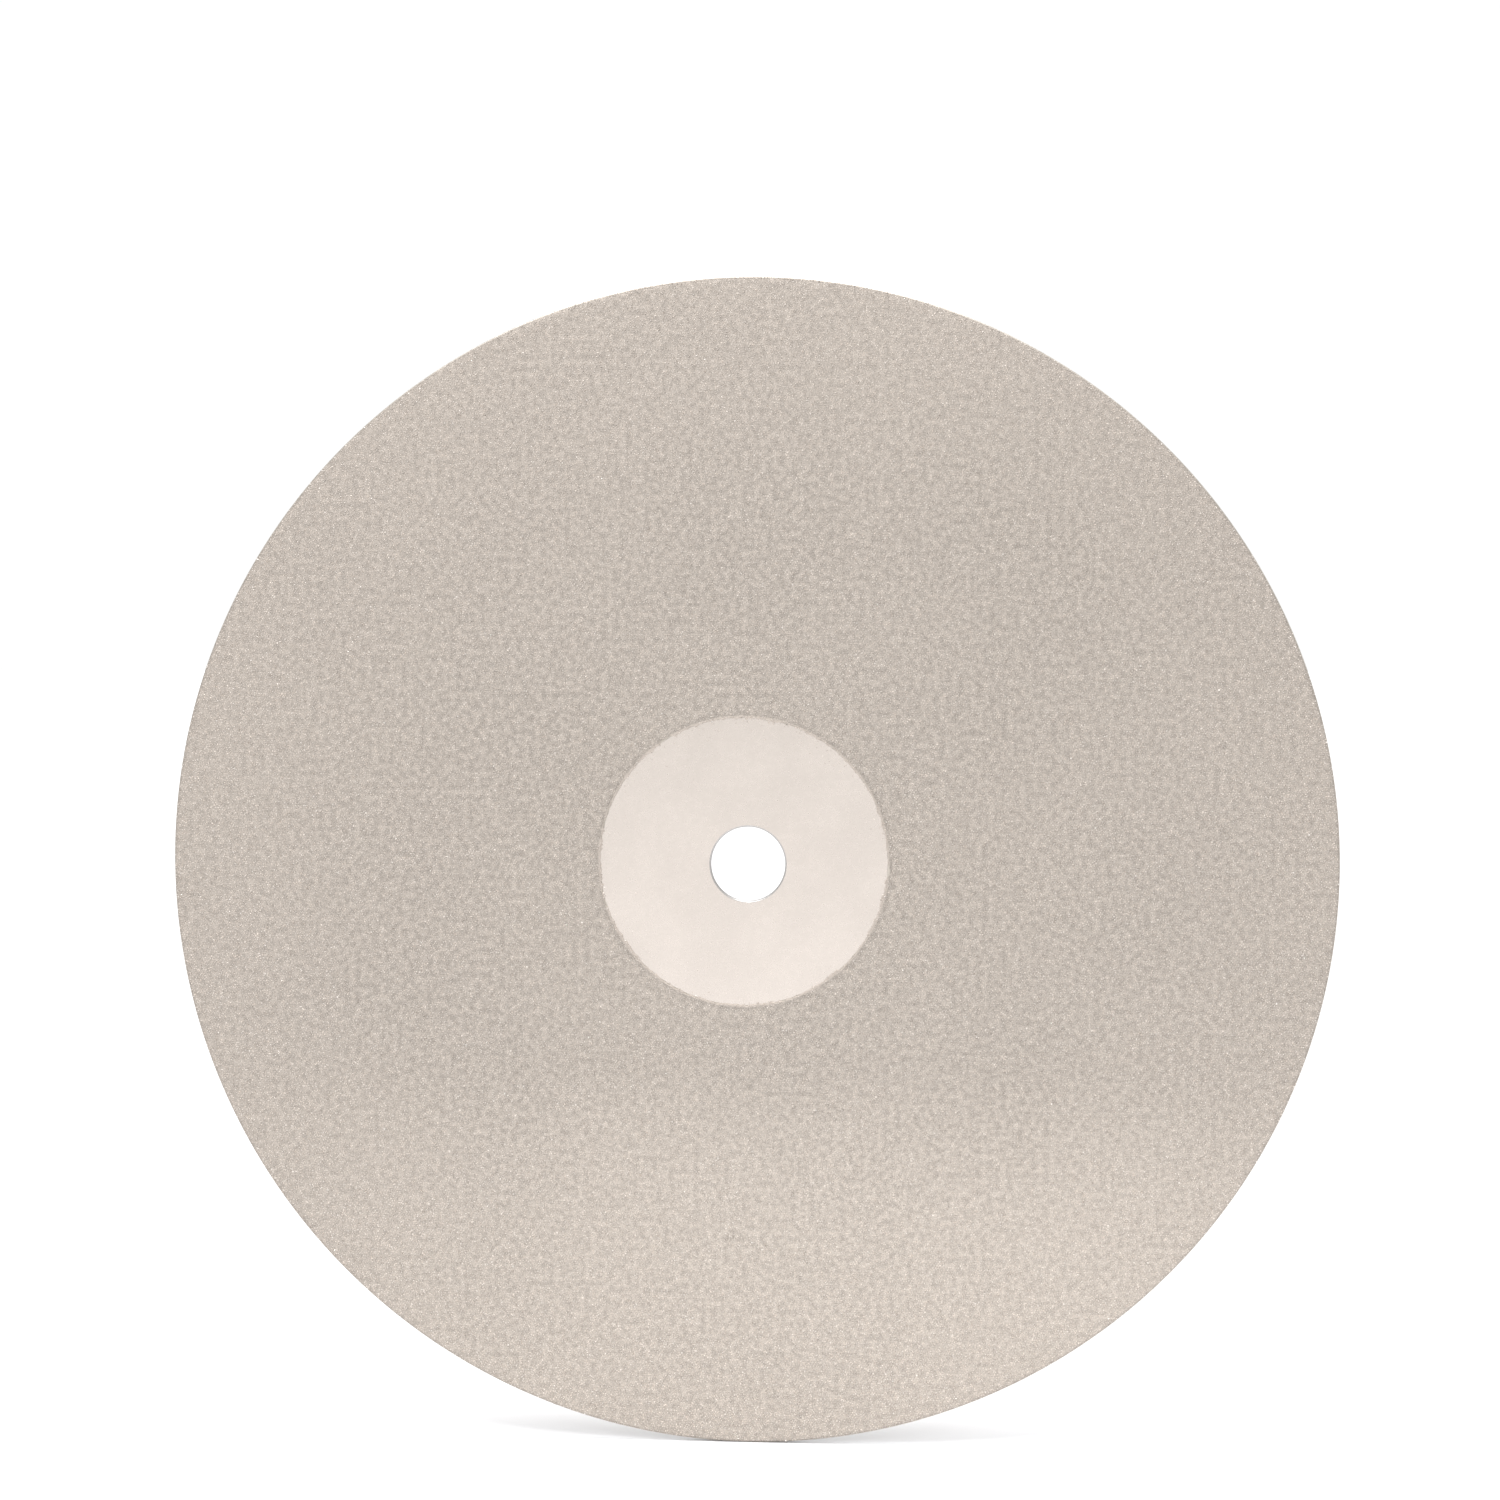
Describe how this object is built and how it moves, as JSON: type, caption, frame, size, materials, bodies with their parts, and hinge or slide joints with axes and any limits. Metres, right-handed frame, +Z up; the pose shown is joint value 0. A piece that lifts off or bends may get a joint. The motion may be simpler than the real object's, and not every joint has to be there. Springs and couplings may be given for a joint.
{
  "type": "diamond grinding wheel",
  "caption": "Flat round lap disc for grinding stone and glass: steel plate with a plated diamond grain ring, a bare centre and an arbor bore.",
  "frame": {"origin": "middle of the arbor bore, halfway through the steel plate", "axes": "+Y along the bore axis, out of the back; the grain faces -Y; +Z up, with the wheel standing on its rim"},
  "size_m": [0.2, 0.0014, 0.2],
  "materials": {
    "steel": "punched edge, deburred",
    "nickel_strike": "dull nickel",
    "nickel_bond": "matt nickel between grains",
    "diamond_grain": "crushed crystal, nickel dusted",
    "satin_nickel": "satin nickel",
    "back_nickel": "satin nickel over a ground plate"
  },
  "bodies": {
    "root": {"steel_plate": "steel", "front_strike": "nickel_strike", "nickel_bond": "nickel_bond", "diamond_grains": "diamond_grain", "centre_plating": "satin_nickel", "back_plating": "back_nickel"}
  },
  "joints": []
}
